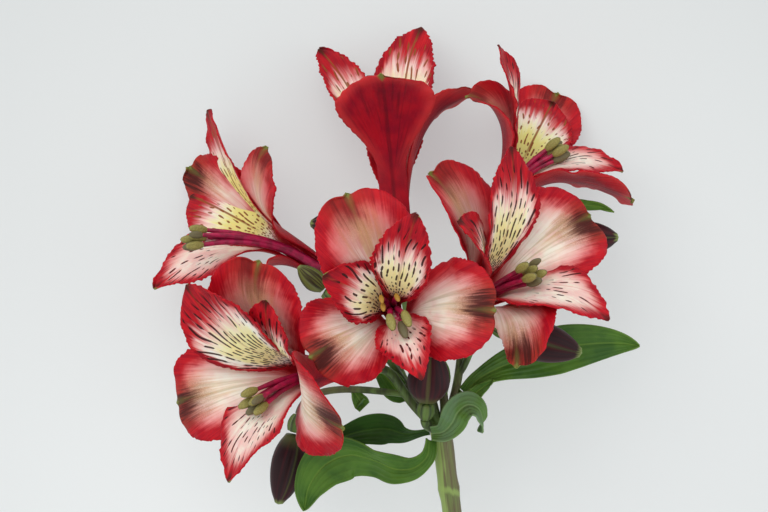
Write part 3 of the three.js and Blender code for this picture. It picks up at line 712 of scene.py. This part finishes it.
def tepal(bloomName, tepalName, seed):
    kind, azimuth = tepalPlan[tepalName]
    bloom = blooms[bloomName]
    plain = dict(lean=0, twist=0, fold=(0, 0), shift=(0, 0, 0), halves=(1, 1), azimuth=azimuth,
                 face=kind + "Face")
    form = {**plain, **tepalKinds[kind], **bloom["tepals"].get(tepalName, {})}
    line = midline(form, bloom)
    look = tepalMesh
    steps, length = look["samples"], form["length"]

    def pointAt(u, s):
        t = 1 - (1 - s) ** look["crowding"]
        place = min(t * steps, steps - tiny)
        i = int(place)
        x = place - i
        onRight = 0 if u < 0 else 1
        hand = 2 * onRight - 1
        a, b = line[i], line[i + 1]
        centre = a[0].lerp(b[0], x)
        side, face, along = a[1].lerp(b[1], x), a[2].lerp(b[2], x), a[3]
        full = max(halfWidth(form, t), look["leastHalf"])
        share = form["halves"][onRight]  # the share of that half that is made; the rest, rolled under, is left out
        half = full * share
        shown = smooth(t, look["tubeOpen"], look["tubeSettled"])
        bend = look["tubeCurve"] + (math.radians(form["cup"]) - look["tubeCurve"]) * shown
        fold = math.radians(form["fold"][onRight]) * shown
        rim = smooth(abs(u), look["rimFrom"], 1.0) * shown
        run = t * length
        scallop = look["scallop"] * rough(run / look["scallopPitch"], seed * 2.3, hand * 9)
        fringe = rough(run / look["toothPitch"], seed * 3.1, hand * 5) - look["toothRise"] + scallop
        tooth = hand * (form["tooth"] * fringe) * rim
        out, lift = arched(half, bend, u)
        out += tooth
        phase = form["azimuth"] + look["waveShift"] * (1 - onRight)
        lift += abs(out) * math.sin(fold)
        lift += form["wave"] * shown * abs(u) ** 3 * math.sin(look["waves"] * t + phase)
        lift += look["ruffleDepth"] * shown * abs(u) ** 4 * rough(run / look["rufflePitch"], seed, hand * 3)
        place = half * u / look["swellAcross"], run / look["swellAlong"], seed * 1.7
        lift += look["swell"] * shown * rough(*place)
        notch = form["notch"] * bell(half * u, look["notchWidth"]) * smooth(t, 0.8, 1.0)
        if form["notch"]:
            notch -= look["nub"] * bell(half * u, look["nubWidth"]) * smooth(t, 0.95, 1.0)
        point = centre + side * (out * math.cos(fold)) + face * lift - along * notch
        return point, full * u * share + tooth, run, edgeDistance(full, u * share, length - run), t

    return blade(tepalName, look["rows"], look["columns"], pointAt, look["thickness"],
                 form["face"], "tepalBack", seed)


for number, name in enumerate(blooms):
    whorls = {"outer": [], "inner": []}
    for k, (tepalName, (kind, azimuth)) in enumerate(tepalPlan.items()):
        seed = (number * len(tepalPlan) + k + 1) * 0.37
        whorls["outer" if kind == "outer" else "inner"].append(tepal(name, tepalName, seed))
    for whorl, pieces in whorls.items():
        handOver(joined(pieces, name + "_" + whorl + "_tepals"), "petal", name + "_petals")
    print("tepals of", name)


ovaryForm = {"length": 7.5, "radius": 3.0, "ribs": 6, "ribDepth": 0.13, "swell": [0.55, 0.86, 1.0, 0.96, 0.8],
             "budScale": 0.85}

stamenForm = {"nod": 0, "reach": [0.4, 13, 25, 34], "drop": [0, 1, 4.5, 10], "radii": [1.17, 0.99, 0.9, 0.63],
              "near": 0.7, "spread": 2.6, "stagger": 1.9, "seatHeight": 2.3, "sway": [0, 0, 0, 0],
              "places": [(-1, 0.2, 1, 1, 0), (-0.45, -0.2, 1.02, 1, 0.5), (0.2, 0.35, 0.94, 1, 0),
                         (0.75, -0.1, 1, 1, 0), (1, 0.55, 0.95, 0.8, 0.5),
                         (-0.6, 0.8, 0.9, 1, 0)]}  # aside, upwards, length, size, tone

antherForm = {"length": 6.4, "radius": 1.45, "blunt": 0.55, "groove": 0.2, "grooveWidth": 0.35, "behind": 0.3}

styleForm = {"share": 0.92, "rise": 0.2, "radii": [0.75, 0.65, 0.55, 0.5], "armRadii": [0.45, 0.4, 0.3],
             "arms": 3, "armTurn": 40}


def ovary(name, foot, axis, scale, seed, node):
    form = ovaryForm

    def radiusAt(t, angle):
        rib = 1 + form["ribDepth"] * math.cos(form["ribs"] * angle)
        return scale * form["radius"] * through(form["swell"], t) * rib

    piece = roundBody(name, foot, axis, scale * form["length"], radiusAt, 48, 14, "ovary", seed, form["ribs"])
    handOver(piece, "ovary", node)


def anther(centre, pointing, seed, size):
    form = antherForm

    def radiusAt(t, angle):
        body = math.sin(math.pi * (t * 0.94 + 0.03)) ** form["blunt"]
        groove = 1 - form["groove"] * bell(math.cos(angle), form["grooveWidth"])
        return size * form["radius"] * body * groove * (1.05 - 0.12 * t)

    start = centre - pointing * (size * form["length"] * form["behind"])
    return roundBody("anther", start, pointing, size * form["length"], radiusAt, 20, 14, "anther", seed, 2)


def stamens(name, bloom):
    form = {**stamenForm, **bloom.get("stamens", {})}
    axis, top, right = frameOf(bloom["faces"], bloom["up"])
    foot = Vector(bloom["seat"]) + axis * form["seatHeight"]
    filaments, anthers = [], []
    for aside, upwards, share, size, tone in form["places"]:
        points = []
        for i, reach in enumerate(form["reach"]):
            apart = form["near"] + form["spread"] * (i / 3) ** 2.2
            points.append(foot + axis * (reach * share + form["stagger"] * min(upwards, 1) * i)
                          + top * (apart * upwards - form["drop"][i] * share * share)
                          + right * (apart * aside + form["sway"][i] * share))
        filaments.append(tube("filament", points, form["radii"], "filament"))
        pointing = ((points[3] - points[2]).normalized() - top * form["nod"]).normalized()
        anthers.append(anther(points[3], pointing, tone, size))
    share = styleForm["share"]  # the style stands among them and parts into short arms
    middle = [foot + axis * (form["reach"][i] * share) + right * (form["sway"][i] * share)
              - top * (form["drop"][i] * share * share - styleForm["rise"] * i) for i in range(4)]
    style = [tube("style", middle, styleForm["radii"], "style")]
    end, ahead = middle[3], (middle[3] - middle[2]).normalized()
    for k in range(styleForm["arms"]):
        angle = math.radians(360 / styleForm["arms"] * k + styleForm["armTurn"])
        outward = top * math.cos(angle) + right * math.sin(angle)
        arm = [end, end + ahead + outward * 0.4, end + ahead * 1.8 + outward * 1.5]
        style.append(tube("stigma", arm, styleForm["armRadii"], "style"))
    for pieces, kind in ((filaments, "_filaments"), (anthers, "_anthers"), (style, "_style")):
        handOver(joined(pieces, name + kind), "stamen", name + "_stamens")


def growth(name):  # a bloom's or bud's axis, and the foot of its ovary
    grown = blooms.get(name) or buds[name]
    axis = Vector(grown["faces"]).normalized()
    if name in blooms:
        return axis, Vector(grown["seat"]) - axis * (ovaryForm["length"] + tepalMesh["gap"])
    return axis, Vector(grown["foot"])


for number, (name, bloom) in enumerate(blooms.items()):
    axis, foot = growth(name)
    ovary(name + "_seed_case", foot, axis, 1, number, name + "_ovary")
    stamens(name, bloom)
print("ovaries and stamens made")


budForm = {"swell": [0.45, 0.8, 1, 0.98, 0.84, 0.58, 0.2], "lobes": 3, "lobeSwell": 0.07,
           "seamDepth": 0.16, "seamWidth": 0.14}

buds = {
    "bud_lower_left": dict(foot=(-27, -50, 33), faces=(-0.22, -0.95, -0.12), length=23.5, radius=5.8, spin=60),
    "bud_middle": dict(foot=(12.8, -51.1, 50.4), faces=(0.07, 0.9, 0.42), length=19, radius=6.4, spin=90),
    "bud_right": dict(foot=(33.8, -22.1, 42), faces=(0.95, -0.28, 0.05), length=23, radius=6.2, spin=96),
    "bud_far_right": dict(foot=(50.6, 5.2, 36), faces=(0.99, 0.03, 0), length=17, radius=5.2, spin=90),
    "bud_inner_left": dict(foot=(-13.8, -14.8, 40), faces=(-0.75, 0.66, 0.1), length=11, radius=3.4, spin=40,
        skin="youngBud"),
    "bud_back_left": dict(foot=(-1.7, 8.5, 45), faces=(-0.98, 0.08, 0), length=15, radius=4.6, spin=30),
}

for number, (name, bud) in enumerate(buds.items()):
    axis, foot = growth(name)
    spin, lobes = math.radians(bud["spin"]), budForm["lobes"]

    def budRadius(t, angle):
        turn = ((angle - spin) * lobes / (2 * math.pi)) % 1.0
        seam = budForm["seamDepth"] * bell(min(turn, 1 - turn), budForm["seamWidth"]) * smooth(t, 0.05, 0.4)
        lobe = 1 - budForm["lobeSwell"] * math.cos(lobes * (angle - spin)) - seam
        return bud["radius"] * through(budForm["swell"], t) * lobe

    start = foot + axis * (ovaryForm["budScale"] * ovaryForm["length"] + tepalMesh["gap"])
    piece = roundBody(name + "_petals", start, axis, bud["length"], budRadius, 96, 40, bud.get("skin", "bud"),
                      number * 0.7, lobes, spin)
    handOver(piece, "bud", name)
    ovary(name + "_seed_case", foot, axis, ovaryForm["budScale"], number + 10, name + "_ovary")
print("buds made")


leafForm = dict(claw=0.3, grows=0, widest=0.45, blunt=1.7, sharp=0.8, cup=20, rows=110, columns=24,
                thickness=0.45, sides=("leafFace", "leafUnder"), samples=160, crowding=1.2, leastHalf=0.15,
                wave=0.6, waves=14, waveShift=1.7, ruffle=0.5, rufflePitch=6, keel=0.35, keelWidth=0.9)

leaves = {
    "leaf_right": dict(width=15.5, widest=0.55, roll=[20, 0, -8, -5, 0], path=[(25.6, -43.2, 39),
        (29.4, -39.2, 38.4), (36.6, -35.3, 36), (46.2, -32.3, 33), (55.8, -29.5, 31), (65.6, -28, 30),
        (75.3, -27.8, 28), (81.7, -28.7, 27)]),
    "leaf_lower_left": dict(width=16, widest=0.62, claw=0.28, roll=[50, 10, 0, 50, 40, 10, 0, 0, 0],
        path=[(14.2, -57.4, 48.6), (13.4, -62.5, 50), (9.1, -66.2, 49.5), (3.4, -66.6, 48), (-2.8, -64.2, 46),
        (-10.7, -62.4, 45), (-18.5, -65.6, 43), (-23.6, -72.7, 41), (-25.2, -80.4, 39)]),
    "leaf_curled": dict(width=9, claw=0.5, widest=0.35, blunt=3, sharp=0.5, roll=[10, 0, 20, 60, 120],
        sides=("leafUnder", "leafFace"), path=[(14.9, -55.4, 50.4), (18.3, -54.7, 52.5), (21.1, -51.8, 54.5),
        (22.9, -48.3, 56), (26, -46.1, 56), (29.1, -47.1, 55), (30.8, -51, 52), (29.6, -54.6, 49)]),
    # painted shade: this leaf takes the darker leaf finish, as if shadowed by the blooms above
    "leaf_back_left": dict(width=10, roll=[60, 30, 0, 0, 0], sides=("paintedShadeLeaf", "leafUnder"),
        path=[(14, -54.9, 43.2), (6.6, -56, 41), (1.3, -54.5, 40), (-5.1, -54.9, 38), (-12.3, -56.9, 36),
        (-18.7, -59.8, 35)]),
}


def curveThrough(path, samples):  # evenly spaced places on a smooth line through points
    points = [Vector(p) for p in path]
    ghost = [points[0] * 2 - points[1]] + points + [points[-1] * 2 - points[-2]]
    dense, pieces = [], 30
    for i in range(1, len(ghost) - 2):
        p0, p1, p2, p3 = ghost[i - 1:i + 3]
        k0, k1, k2 = (math.sqrt((b - a).length) for a, b in ((p0, p1), (p1, p2), (p2, p3)))
        m1 = ((p1 - p0) / k0 - (p2 - p0) / (k0 + k1) + (p2 - p1) / k1) * k1
        m2 = ((p2 - p1) / k1 - (p3 - p1) / (k1 + k2) + (p3 - p2) / k2) * k1
        for j in range(pieces):
            x = j / pieces
            dense.append(p1 * (2 * x ** 3 - 3 * x ** 2 + 1) + m1 * (x ** 3 - 2 * x ** 2 + x)
                         + p2 * (3 * x ** 2 - 2 * x ** 3) + m2 * (x ** 3 - x ** 2))
    dense.append(points[-1])
    runs = [0.0]
    for a, b in zip(dense, dense[1:]):
        runs.append(runs[-1] + (b - a).length)
    even, j = [], 0
    for i in range(samples + 1):
        want = runs[-1] * i / samples
        while j < len(runs) - 2 and runs[j + 1] < want:
            j += 1
        even.append(dense[j].lerp(dense[j + 1], (want - runs[j]) / (runs[j + 1] - runs[j])))
    return even, runs[-1]


def leaf(name, own, seed):
    form = {**leafForm, **own}
    steps = form["samples"]
    line, length = curveThrough(form["path"], steps)

    def pointAt(u, s):
        t = 1 - (1 - s) ** form["crowding"]
        place = min(t * steps, steps - tiny)
        i = int(place)
        centre = line[i].lerp(line[i + 1], place - i)
        ahead, behind = line[min(i + 3, steps)], line[max(i - 2, 0)]
        along = (ahead - behind).normalized()
        flat = along.cross(Vector((0, 0, 1))).normalized()
        side, face = turned(flat, flat.cross(along), math.radians(through(form["roll"], t)))
        half = max(halfWidth(form, t), form["leastHalf"])
        out, lift = arched(half, math.radians(form["cup"]), u)
        hand, phase = (-1, form["waveShift"]) if u < 0 else (1, 0)
        lift += form["wave"] * abs(u) ** 3 * math.sin(form["waves"] * t + phase)
        lift += form["ruffle"] * u * u * rough(t * length / form["rufflePitch"], seed, hand * 3)
        lift -= form["keel"] * bell(half * u, form["keelWidth"])
        return (centre + side * out + face * lift, half * u, t * length,
                edgeDistance(half, u, (1 - t) * length), t)

    return blade(name, form["rows"], form["columns"], pointAt, form["thickness"], *form["sides"], seed)


for number, (name, own) in enumerate(leaves.items()):
    handOver(leaf(name + "_blade", own, number + 0.5), "leaf", name)
print("leaves made")


stemForm = {
    "stalkRadii": [3.4, 3, 3.1, 3.3, 3.2, 3.3, 3.2, 3.2],
    "stalkPath": [(17.4, -53.2, 45.6), (18.7, -60, 43.6), (19.8, -69, 41), (21.5, -81, 37.6), (25, -118, 27.2),
                  (29.5, -160, 14.6), (33.6, -200, 4.6), (37.2, -234, 2.4)],
    "stalkNodes": [(0.113, 0.13), (0.33, 0.16), (0.56, 0.16), (0.8, 0.18)], "nodeWidth": 0.012,  # place, swell
    "samples": 90, "evenedOver": (-0.06, -0.03, 0, 0.03, 0.06),
    "pedicelRadius": 1.25, "thinRadius": 1.0, "flare": (1.05, 1.2), "root": (17.6, -54.5, 45),
}

stalkOf = {  # ray: where on another stalk it starts; leaving: its first direction; rise, run: its two handles
    "bloom_front": {},
    "bloom_lower_left": dict(leaving=(-0.77, 0.55, 0.1), rise=0.6, run=0.35),
    "bloom_mid_left": dict(leaving=(-0.7, 0.6, -0.3)),
    "bloom_right": dict(leaving=(0.45, 0.9, 0.1)),
    "bloom_top_right": dict(leaving=(0.5, 0.85, -0.15)),
    "bloom_top_back": {},
    "bud_lower_left": dict(ray=("bloom_lower_left", 0.4), leaving=(-0.95, 0.1, -0.2)),
    "bud_middle": dict(leaving=(-0.9, 0.1, 0.4)),
    "bud_right": dict(ray=("bloom_top_right", 0.3), leaving=(0.65, 0.75, 0.1)),
    "bud_far_right": dict(ray=("bloom_top_right", 0.6), leaving=(0.4, 0.9, 0.2)),
    "bud_inner_left": dict(ray=("bloom_mid_left", 0.3), leaving=(-0.5, 0.7, 0.4)),
    "bud_back_left": dict(ray=("bloom_top_back", 0.5), leaving=(-0.1, 0.9, 0.4)),
}

bracts = {
    "behind_middle_bud": dict(ray=("bloom_mid_left", 0.3), width=8, path=[(5, -43.2, 40), (0.9, -38.4, 40),
        (-3.2, -33.4, 40)]),
    "middle": dict(ray=("bloom_right", 0.35), width=5, path=[(18.6, -38.5, 46), (17, -33, 47), (15, -27.5, 47)]),
    "hanging": dict(ray=("bloom_right", 0.18), width=3, path=[(23, -51, 48.5), (21.8, -55.8, 48)]),
    "right": dict(ray=("bloom_top_right", 0.22), width=4.5, path=[(26, -44.6, 44), (30, -42, 44),
        (34.5, -38.8, 43.5)]),
    "left": dict(ray=("bud_lower_left", 0.4), width=5, path=[(-6.8, -47, 40), (-10, -43.5, 40)]),
    "far_right": dict(ray=("bud_far_right", 0.8), width=4.5, path=[(56, 15, 35), (67.5, 15.8, 34),
        (73, 14, 34)]),
}


def bezierPoint(p, t):
    s = 1 - t
    return p[0] * s ** 3 + p[1] * (3 * s * s * t) + p[2] * (3 * s * t * t) + p[3] * t ** 3


rays, pedicels = {}, []
for name, way in stalkOf.items():
    axis, foot = growth(name)
    ray = way.get("ray")
    root = bezierPoint(rays[ray[0]], ray[1]) if ray else Vector(stemForm["root"])
    span = (foot - root).length
    away = Vector(way["leaving"]).normalized() if "leaving" in way else (foot - root).normalized()
    rise, run = span * way.get("rise", 0.35), span * way.get("run", 0.3)
    rays[name] = [root, root + away * rise, foot - axis * run, foot]
    radius = stemForm["thinRadius"] if ray else stemForm["pedicelRadius"]
    radii = [radius * flare for flare in stemForm["flare"]]
    pedicels.append(tube("pedicel", [root, foot], radii, "pedicel", rays[name][1:3], sides=4, steps=24))
handOver(joined(pedicels, "flower_stalks"), "stalk", "stem")

radii = []
for i in range(stemForm["samples"] + 1):
    t = i / stemForm["samples"]
    bulge = 1 + sum(swell * bell(t - at, stemForm["nodeWidth"]) for at, swell in stemForm["stalkNodes"])
    even = [through(stemForm["stalkRadii"], t + off) for off in stemForm["evenedOver"]]
    radii.append(sum(even) / len(even) * bulge)
line = curveThrough(stemForm["stalkPath"], stemForm["samples"])[0]
handOver(tube("stalk", line, radii, "stalk", sides=7, steps=2), "stalk", "stem")

for number, (name, own) in enumerate(bracts.items()):
    start, share = own["ray"]
    path = [bezierPoint(rays[start], share)] + own["path"]
    form = {**own, "roll": [0, 0], "rows": 40, "columns": 10, "path": path}
    handOver(leaf("bract_" + name, form, number + 20), "leaf", "stem")
print("stem made")


studio = {
    **tints(floor=0xC6C9C8, floorShade=0x9C9F9E), "floorSize": 6.0,
    "air": (0.965, 0.985, 1.0, 1.0), "world": 0.84, "glow": 0.28,
    "cameraHeight": 985.0, "lens": 140.6, "sensorWidth": 36, "clipStart": 0.01,
    "lampsFace": Vector((0, 0.08, 0.05)),
    "lamps": {"keyLight": dict(place=(-0.5, 0.8, 1.2), size=1.5, power=8.6, colour=(1.0, 0.98, 0.95)),
              "fillLight": dict(place=(0.9, -0.2, 0.9), size=1.0, power=1.6, colour=(0.95, 0.97, 1.0))},
}


def floorSurface():
    paint = Paint("paleFloor", studio, "floor")
    spot = paint.place()
    fibres = paint.grain(spot, 900.0, 2)
    away = paint.node("ShaderNodeVectorMath", {"operation": "LENGTH"}, {0: spot}).out("Value")
    # painted shade: the floor is painted darker away from the middle, as if a pool of light lay round the
    # flowers
    paint.lay(paint.rise(away + paint.grain(spot, 3.0, 2) * 0.04, 0.0, 0.35), "floorShade")
    # painted light: the floor glows faintly, which lifts the shade beneath the flowers
    return paint.finish(0.85 + fibres * 0.1, fibres, depth=0.00005, strength=0.2,
                        **{"Emission Color": studio["air"], "Emission Strength": studio["glow"]})


floor = added("floor", bpy.ops.mesh.primitive_plane_add, size=studio["floorSize"])
floor.data.materials.append(floorSurface())

world = bpy.data.worlds.new("studioAir")
bpy.context.scene.world = world
world.use_nodes = True
background = world.node_tree.nodes["Background"]
background.inputs["Color"].default_value = studio["air"]
background.inputs["Strength"].default_value = studio["world"]

for name, look in studio["lamps"].items():
    lamp = added(name, bpy.ops.object.light_add, type="AREA", location=look["place"])
    lamp.data.shape = "DISK"
    lamp.data.size = look["size"]
    lamp.data.energy = look["power"]
    lamp.data.color = look["colour"]
    lamp.rotation_euler = (studio["lampsFace"] - Vector(look["place"])).to_track_quat("-Z", "Y").to_euler()

camera = added("camera", bpy.ops.object.camera_add, location=placed((0, 0, studio["cameraHeight"])),
               rotation=(0, 0, 0))
camera.data.lens = studio["lens"]
camera.data.sensor_width = studio["sensorWidth"]
camera.data.clip_start = studio["clipStart"]
bpy.context.scene.camera = camera
bpy.context.scene.view_settings.view_transform = "Standard"
print("studio ready")
